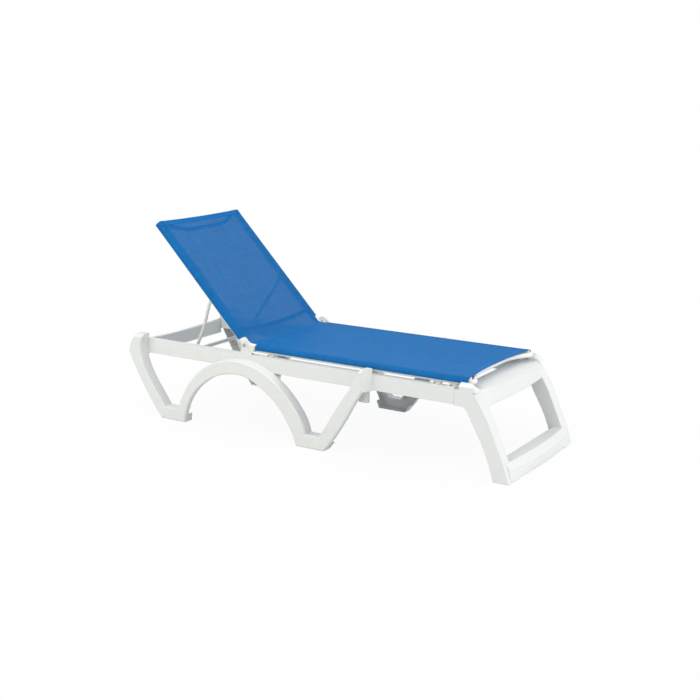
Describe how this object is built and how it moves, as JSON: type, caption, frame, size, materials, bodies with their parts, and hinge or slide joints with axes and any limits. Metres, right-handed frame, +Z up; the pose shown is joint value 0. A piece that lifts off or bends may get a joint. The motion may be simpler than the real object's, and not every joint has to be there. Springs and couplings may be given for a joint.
{
  "type": "sling chaise lounge",
  "caption": "Stacking sling chaise lounge: white moulded base with arched side legs, coated tube frame, blue mesh sling, and a reclining back held by a hinged prop.",
  "frame": {"origin": "floor level, under the middle of the whole lounge", "axes": "+X towards the foot end, +Y towards the left side, +Z up"},
  "size_m": [1.924, 0.718, 0.8925],
  "materials": {
    "white_resin": "satin moulded resin",
    "coated_tube": "white powder coat",
    "steel_hardware": "zinc plated",
    "blue_mesh": "coated open-weave mesh",
    "edge_cord": "extruded cord"
  },
  "bodies": {
    "base": {"left_side_frame": "white_resin", "right_side_frame": "white_resin", "head_crossbar": "white_resin", "foot_end_frame": "white_resin", "frame_screws": "steel_hardware", "left_prop_rack": "white_resin", "right_prop_rack": "white_resin", "rack_screws": "steel_hardware", "left_hinge_bracket": "white_resin", "right_hinge_bracket": "white_resin", "bracket_screws": "steel_hardware", "seat_saddles": "white_resin", "saddle_screws": "steel_hardware", "left_seat_rail": "coated_tube", "right_seat_rail": "coated_tube", "seat_foot_tube": "coated_tube", "seat_middle_tube": "coated_tube", "seat_head_tube": "coated_tube", "seat_end_plugs": "white_resin", "left_seat_knuckle": "white_resin", "right_seat_knuckle": "white_resin", "hinge_bolts": "steel_hardware", "seat_edge_cords": "edge_cord", "sling_seat": "blue_mesh"},
    "back": {"left_back_rail": "coated_tube", "right_back_rail": "coated_tube", "back_top_tube": "coated_tube", "back_lower_tube": "coated_tube", "back_end_plugs": "white_resin", "left_back_knuckle": "white_resin", "right_back_knuckle": "white_resin", "back_edge_cords": "edge_cord", "prop_pivots": "steel_hardware", "sling_back": "blue_mesh"},
    "prop": {"prop_bail": "coated_tube"}
  },
  "joints": [
    {"name": "back_recline", "type": "hinge", "parent": "base", "child": "back", "pos_m": [-0.324, 0, 0.387], "axis": [0, 1, 0], "range_deg": [-45.7, 9]},
    {"name": "prop_swing", "type": "hinge", "parent": "back", "child": "prop", "pos_m": [-0.53729, 0, 0.58266], "axis": [0, 1, 0], "range_deg": [-21, 106.2]}
  ],
  "couplings": [
    {"joint": "prop_swing", "follows": "back_recline", "ratio": -2.32}
  ]
}
